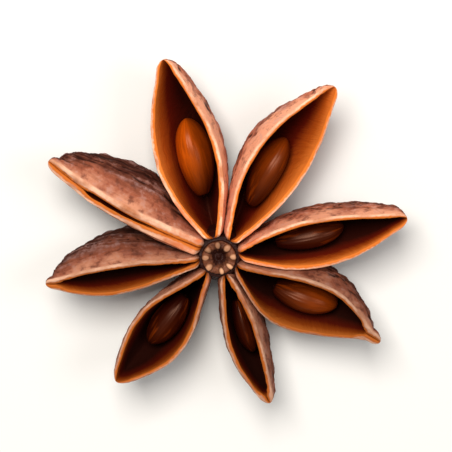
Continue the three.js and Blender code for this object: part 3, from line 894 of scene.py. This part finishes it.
class Tree:
    """Short ways to add nodes to a material. Most return the socket that carries the result."""

    def __init__(self, name):
        self.material = bpy.data.materials.new(name)
        self.material.use_nodes = True
        self.tree = self.material.node_tree
        self.shader = self.tree.nodes["Principled BSDF"]

    def feed(self, socket, value):
        """Links a socket to another, or sets its own value."""
        if isinstance(value, bpy.types.NodeSocket):
            self.tree.links.new(value, socket)
        elif hasattr(value, "__len__") and len(value) == 3 and len(socket.default_value) == 4:
            socket.default_value = (*value, 1)
        else:
            socket.default_value = value

    def attribute(self, name):
        """A value that the piece carries at each point."""
        node = self.tree.nodes.new("ShaderNodeAttribute")
        node.attribute_name = name
        return node.outputs["Fac"]

    def position(self):
        """The place on the piece, in metres."""
        return self.tree.nodes.new("ShaderNodeTexCoord").outputs["Object"]

    def surface_map(self, scale):
        """The piece's own map, along and round it, so many times as fine."""
        node = self.tree.nodes.new("ShaderNodeMapping")
        self.feed(node.inputs["Vector"], self.tree.nodes.new("ShaderNodeTexCoord").outputs["UV"])
        node.inputs["Scale"].default_value = scale
        return node.outputs["Vector"]

    def noise(self, vector, size, detail=3, roughness=0.55):
        """Noise of about 0 to 1 in blotches of a size."""
        node = self.tree.nodes.new("ShaderNodeTexNoise")
        self.feed(node.inputs["Vector"], vector)
        node.inputs["Scale"].default_value = 1 / size
        node.inputs["Detail"].default_value = detail
        node.inputs["Roughness"].default_value = roughness
        return node.outputs["Fac"]

    def math(self, operation, first, second):
        """The sum or the product of two values."""
        node = self.tree.nodes.new("ShaderNodeMath")
        node.operation = operation
        self.feed(node.inputs[0], first)
        self.feed(node.inputs[1], second)
        return node.outputs["Value"]

    def spread(self, value, low, high, to_low=0.0, to_high=1.0):
        """Carries low..high to to_low..to_high, smoothly and no further."""
        node = self.tree.nodes.new("ShaderNodeMapRange")
        node.interpolation_type = "SMOOTHSTEP"
        self.feed(node.inputs["Value"], value)
        node.inputs["From Min"].default_value = low
        node.inputs["From Max"].default_value = high
        node.inputs["To Min"].default_value = to_low
        node.inputs["To Max"].default_value = to_high
        return node.outputs["Result"]

    def ramp(self, value, *stops):
        """A colour for a value, from stops of place and colour."""
        node = self.tree.nodes.new("ShaderNodeValToRGB")
        self.feed(node.inputs["Fac"], value)
        elements = node.color_ramp.elements
        while len(elements) < len(stops):
            elements.new(0.5)
        for element, (at, shade) in zip(elements, stops):
            element.position = at
            element.color = (*shade, 1)
        return node.outputs["Color"]

    def grey(self, value):
        """A grey whose three channels are the value."""
        node = self.tree.nodes.new("ShaderNodeCombineColor")
        for channel in node.inputs:
            self.feed(channel, value)
        return node.outputs["Color"]

    def blend(self, share_of_second, first, second, way="MIX"):
        """The first colour with a share of the second over it."""
        node = self.tree.nodes.new("ShaderNodeMix")
        node.data_type = "RGBA"
        node.blend_type = way
        self.feed(node.inputs[0], share_of_second)
        self.feed(node.inputs[6], first)
        self.feed(node.inputs[7], second)
        return node.outputs[2]

    def bump(self, height, distance, strength):
        """Roughens the surface finely by a height."""
        node = self.tree.nodes.new("ShaderNodeBump")
        node.inputs["Strength"].default_value = strength
        node.inputs["Distance"].default_value = distance
        self.feed(node.inputs["Height"], height)
        self.feed(self.shader.inputs["Normal"], node.outputs["Normal"])

    def finish(self, base, roughness, **values):
        """The material, once its colour, its roughness and its even values are set."""
        self.feed(self.shader.inputs["Base Color"], base)
        self.feed(self.shader.inputs["Roughness"], roughness)
        for name, value in values.items():
            self.shader.inputs[name.replace("_", " ")].default_value = value
        return self.material


HuskMarks = namedtuple("HuskMarks", "keel inner lip below relief along pale mottle patch "
                                    "speck streak")


def husk_marks(t):
    """The values that a carpel carries, and the noises that break its colours up."""
    names = ("keel", "inner", "lip", "below", "relief", "along", "pale")
    position = t.position()
    return HuskMarks(
        *[t.attribute(name) for name in names],
        mottle=t.noise(position, MOTTLE_SIZE, 4, 0.6),
        patch=t.noise(position, PATCH_SIZE, 4, 0.65),
        speck=t.noise(position, SPECK_SIZE, 3, 0.6),
        streak=t.noise(t.surface_map(HUSK_STREAKS), 1, 3, 0.6),
    )


def flank_colour(t, marks, colours):
    """Tan by the rim, dark by the keel, streaked, patched and bloomed, with painted sheen, highlight
    and shade.
    """
    where = t.math("ADD", marks.keel, t.spread(marks.mottle, 0.25, 0.75, -0.12, 0.12))
    # Painted light: the more lit carpels shift towards the paler colour by the rim.
    where = t.math("ADD", where, t.spread(marks.pale, 0.5, 1, 0, -0.15))
    flank = t.ramp(where, (0, colours.rim_side), (0.16, colours.flank), (0.5, colours.low_flank))
    flank = t.blend(t.spread(marks.streak, 0.5, 0.75, 0, 0.2), flank, colours.rim_side)
    flank = t.blend(t.spread(marks.streak, 0.5, 0.25, 0, 0.35), flank, colours.low_flank)
    flank = t.blend(t.spread(marks.patch, 0.52, 0.66, 0, 0.5), flank, colours.low_flank)
    flank = t.blend(t.spread(marks.patch, 0.46, 0.34, 0, 0.35), flank, colours.dust_and_sheen)
    # Painted highlight along the keel's crest.
    flank = t.blend(t.spread(marks.keel, 0.94, 0.99, 0, 0.7), flank, colours.keel)
    # Bloom and painted sheen on the raised places.
    raised = t.spread(marks.relief, -0.1, 0.6)
    dust_and_sheen_share = t.math("MULTIPLY", raised, t.spread(marks.speck, 0.35, 0.65, 0.1, 0.8))
    dust_and_sheen_share = t.math("MULTIPLY", dust_and_sheen_share, t.spread(marks.mottle, 0.35, 0.6, 0.3, 1))
    flank = t.blend(dust_and_sheen_share, flank, colours.dust_and_sheen)
    # Painted shade where the surface sinks into cracks and folds.
    return t.blend(t.spread(marks.relief, -0.1, -0.7, 0, 0.9), flank, colours.crease)


def hollow_colour(t, marks, colours):
    """Amber under the rim, then darkened by painted shade to red-brown and nearly black at the bottom.
    """
    # Painted shade: the hollow darkens with its depth.
    deep = t.math("ADD", marks.below, t.spread(marks.streak, 0.3, 0.7, -0.02, 0.02))
    return t.ramp(deep, (0.02, colours.inner_top), (0.12, colours.inner_middle_shaded),
                  (0.27, colours.inner_low_shaded), (0.5, colours.inner_deep_shaded))


def lip_colour(t, marks, colours):
    """Pale lips with darker places, redder by the column."""
    lips = t.ramp(marks.mottle, (0.35, colours.lip_dark), (0.62, colours.lip_pale))
    by_column = t.spread(marks.along, 0.35, 0, 0, 0.9)
    reddish = t.math("MULTIPLY", by_column, t.spread(marks.mottle, 0.65, 0.4))
    return t.blend(reddish, lips, colours.lip_red)


def husk_roughness(t, marks, look):
    """Dry and uneven outside, smoother in the hollow, and rough again at its bottom."""
    dry = t.spread(marks.speck, 0.3, 0.7, look.outer_roughness - 0.08, look.outer_roughness + 0.12)
    inside = t.math("MULTIPLY", marks.inner, look.inner_roughness - look.outer_roughness)
    inside = t.math("ADD", inside, t.math("MULTIPLY", marks.below, 0.6))
    return t.math("ADD", dry, inside)


def husk_material(colours, look):
    """Dry woody husk: tan and bloomed outside, darker to the keel, pale lips, amber hollow, with
    painted light and shade.
    """
    t = Tree("woody_husk")
    marks = husk_marks(t)
    passed = t.math("ADD", marks.inner, t.spread(marks.mottle, 0.3, 0.7, -0.15, 0.15))
    passed = t.math("ADD", passed, t.spread(marks.speck, 0.3, 0.7, -0.1, 0.1))
    flank, hollow = flank_colour(t, marks, colours), hollow_colour(t, marks, colours)
    base = t.blend(t.spread(passed, 0.35, 0.65), flank, hollow)
    on_lip = t.math("MULTIPLY", t.spread(marks.lip, 0.25, 0.8), t.spread(passed, 0.62, 0.2))
    base = t.blend(on_lip, base, lip_colour(t, marks, colours))
    # Painted light: each carpel's colour is multiplied by how lit it is made.
    painted_brightness = t.spread(marks.pale, 0, 1, look.darkest, look.palest)
    base = t.blend(1.0, base, t.grey(painted_brightness), "MULTIPLY")
    t.bump(t.noise(t.position(), GRIT_SIZE, 3, 0.65), 0.02 * MM, 0.5)
    return t.finish(base, husk_roughness(t, marks, look),
                    Specular_IOR_Level=look.husk_gloss, Specular_Tint=(*colours.gloss, 1))


def column_material(colours, look):
    """Woody column: pale knobs, fainter on one side as painted shade, brown boss, and a core, pit and
    groove darkened as painted shade.
    """
    t = Tree("woody_column")
    mottle = t.noise(t.position(), COLUMN_MOTTLE_SIZE, 4, 0.6)
    # Painted shade, deepening into the pit, the groove and the furrows.
    sunk = t.math("ADD", t.attribute("sunk"), t.spread(mottle, 0.3, 0.7, -0.2, 0.2))
    base = t.ramp(sunk, (0.2, colours.column), (0.8, colours.pit))
    # Painted shade: the core, seen only inside the hollows, takes the hollows' deepest shade.
    base = t.blend(t.attribute("core"), base, colours.inner_deep_shaded)
    pale = t.math("MULTIPLY", t.attribute("knob"), t.spread(mottle, 0.2, 0.6, 0.6, 1))
    base = t.blend(pale, base, colours.knob)
    rough = t.spread(mottle, 0.3, 0.7, look.outer_roughness - 0.2, look.outer_roughness)
    t.bump(mottle, 0.05 * MM, 0.6)
    return t.finish(base, rough, Specular_IOR_Level=look.husk_gloss)


def seed_material(colours, look):
    """Glossy seed coat, dark red-brown to amber with painted light and shade, streaked with painted
    highlights and shade, and painted shade at the scar.
    """
    t = Tree("seed_coat")
    streak = t.noise(t.surface_map(SEED_STREAKS), 1, 3, 0.55)
    # The amber value carries painted light and shade along and across the seed.
    warm = t.math("MULTIPLY", t.attribute("amber"), t.spread(streak, 0.35, 0.65, 0.7, 1.25))
    base = t.blend(warm, colours.seed_dark, colours.seed_amber)
    # Painted shade in dark streaks between the ridges.
    base = t.blend(t.spread(streak, 0.5, 0.75, 0, 0.4), base, colours.seed_dark)
    # Painted highlights in pale amber streaks along the seed.
    base = t.blend(t.spread(streak, 0.45, 0.3, 0, 0.25), base, colours.seed_amber)
    # Painted shade in the scar's pit.
    base = t.blend(t.spread(t.attribute("scar"), 0.2, 0.8), base, colours.crease)
    rough = t.spread(streak, 0.3, 0.7, look.seed_roughness, look.seed_roughness + 0.1)
    return t.finish(base, rough,
                    Specular_IOR_Level=look.seed_gloss, Specular_Tint=(*colours.gloss, 1))


def floor_material(colours):
    """Plain pale matt floor."""
    t = Tree("pale_floor")
    cloud = t.noise(t.position(), FLOOR_CLOUD_SIZE, 2)
    darker = tuple(0.97 * channel for channel in colours.floor)
    return t.finish(t.blend(cloud, colours.floor, darker), 0.8)


class POD_OT_carpels(bpy.types.Operator):
    """Make the eight carpels of the husk"""

    bl_idname = "pod.carpels"
    bl_label = "Make carpels"

    def execute(self, context):
        pod = context.scene.pod
        material = husk_material(pod.colours, pod.look)
        for number, row in enumerate(CARPELS):
            carpel = in_metres(row, CARPEL_LENGTHS)
            surface = carpel_surface(carpel, pod.husk, pod.detail, CARPEL_NOISE * (number + 1))
            add_piece(f"carpel_{row.name}", surface, material, "husk")
        return {"FINISHED"}


class POD_OT_column(bpy.types.Operator):
    """Make the column with its knobs, pit and stalk stub"""

    bl_idname = "pod.column"
    bl_label = "Make column"

    def execute(self, context):
        pod = context.scene.pod
        surface = column_surface(pod.column, pod.detail, COLUMN_NOISE)
        add_piece("column", surface, column_material(pod.colours, pod.look), "husk")
        return {"FINISHED"}


class POD_OT_seeds(bpy.types.Operator):
    """Make the seeds that lie in the open carpels"""

    bl_idname = "pod.seeds"
    bl_label = "Make seeds"

    def execute(self, context):
        pod = context.scene.pod
        material = seed_material(pod.colours, pod.look)
        for number, row in enumerate(CARPELS):
            if row.seed is None:
                continue
            bean = in_metres(row.seed, SEED_LENGTHS)
            carpel = in_metres(row._replace(seed=bean), CARPEL_LENGTHS)
            surface = seed_surface(carpel, pod.seed, pod.detail, SEED_NOISE + number)
            add_piece(f"bean_{row.name}", surface, material, f"seed_{row.name}")
        return {"FINISHED"}


class POD_OT_stage(bpy.types.Operator):
    """Make the floor, the lights and the camera"""

    bl_idname = "pod.stage"
    bl_label = "Make stage"

    def execute(self, context):
        pod = context.scene.pod
        make_floor(pod.colours)
        make_lights(context.scene, pod.look)
        make_camera(context.scene, pod.look)
        context.scene.view_settings.view_transform = "Standard"
        return {"FINISHED"}


def make_floor(colours):
    """A wide flat square at the resting level."""
    half = FLOOR_HALF_WIDTH
    corners = [(-half, -half, 0), (half, -half, 0), (half, half, 0), (-half, half, 0)]
    mesh = bpy.data.meshes.new("floor")
    mesh.from_pydata(corners, [], [(0, 1, 2, 3)])
    mesh.materials.append(floor_material(colours))
    floor = bpy.data.objects.new("floor", mesh)
    bpy.context.scene.collection.objects.link(floor)


def add_light(name, direction, distance, size, energy, tint):
    """A square soft light in a direction from the pod, facing it."""
    data = bpy.data.lights.new(name, "AREA")
    data.shape = "SQUARE"
    data.size = size
    data.energy = energy
    data.color = tint
    lamp = bpy.data.objects.new(name, data)
    toward = np.array(direction) / np.linalg.norm(direction)
    lamp.location = toward * distance
    lamp.rotation_euler = (-lamp.location).to_track_quat("-Z", "Y").to_euler()
    bpy.context.scene.collection.objects.link(lamp)


def make_lights(scene, look):
    """A soft key light from the picture's upper left, a weak fill and an even sky."""
    add_light("key_light", direction=(-0.15, 0.5, 1), distance=0.32, size=0.14,
              energy=look.key_energy, tint=(1, 0.97, 0.93))
    add_light("fill_light", direction=(0.7, 0.2, 1), distance=0.4, size=0.16,
              energy=look.fill_energy, tint=(0.95, 0.97, 1))
    world = bpy.data.worlds.new("even_sky")
    world.use_nodes = True
    background = world.node_tree.nodes["Background"]
    background.inputs["Color"].default_value = (1.0, 0.98, 0.96, 1)
    background.inputs["Strength"].default_value = look.sky
    scene.world = world


def make_camera(scene, look):
    """A long lens over the pod, leaning past overhead so that the picture's top is +Y."""
    data = bpy.data.cameras.new("camera")
    data.lens = look.lens
    data.clip_start, data.clip_end = 0.01, 5
    camera = bpy.data.objects.new("camera", data)
    low, high = CAD_BOUNDS
    centre = (low + high) / 2
    tilt = look.camera_tilt
    over = look.camera_distance * math.cos(tilt)
    beyond = look.camera_distance * math.sin(tilt)
    camera.location = (centre.x, centre.y + beyond, centre.z + over)
    camera.rotation_euler = (-tilt, 0, 0)
    scene.collection.objects.link(camera)
    scene.camera = camera


class POD_PT_panel(bpy.types.Panel):
    """Lists the pod's pieces and all that can be changed."""

    bl_idname = "POD_PT_panel"
    bl_label = "Star anise pod"
    bl_space_type = "VIEW_3D"
    bl_region_type = "UI"
    bl_category = "Pod"

    def draw(self, context):
        for operator in OPERATORS:
            self.layout.operator(operator.bl_idname)
        pod = context.scene.pod
        for part in ("husk", "column", "seed", "colours", "look", "detail"):
            box = self.layout.box()
            group = getattr(pod, part)
            box.label(text=part.capitalize())
            for name in group.__annotations__:
                box.prop(group, name)


GROUPS = (PodHuskSizes, PodColumnSizes, PodSeedSizes, PodColours, PodLook, PodDetail, PodSettings)
OPERATORS = (POD_OT_carpels, POD_OT_column, POD_OT_seeds, POD_OT_stage)


def register():
    """Adds the settings, the operators and the panel."""
    for kind in (*GROUPS, *OPERATORS, POD_PT_panel):
        bpy.utils.register_class(kind)
    bpy.types.Scene.pod = PointerProperty(type=PodSettings)


def unregister():
    """Takes away what register adds."""
    del bpy.types.Scene.pod
    for kind in reversed((*GROUPS, *OPERATORS, POD_PT_panel)):
        bpy.utils.unregister_class(kind)


def main():
    """Makes every piece and the stage."""
    register()
    bpy.ops.pod.carpels()
    bpy.ops.pod.column()
    bpy.ops.pod.seeds()
    bpy.ops.pod.stage()


if __name__ == "__main__":
    main()
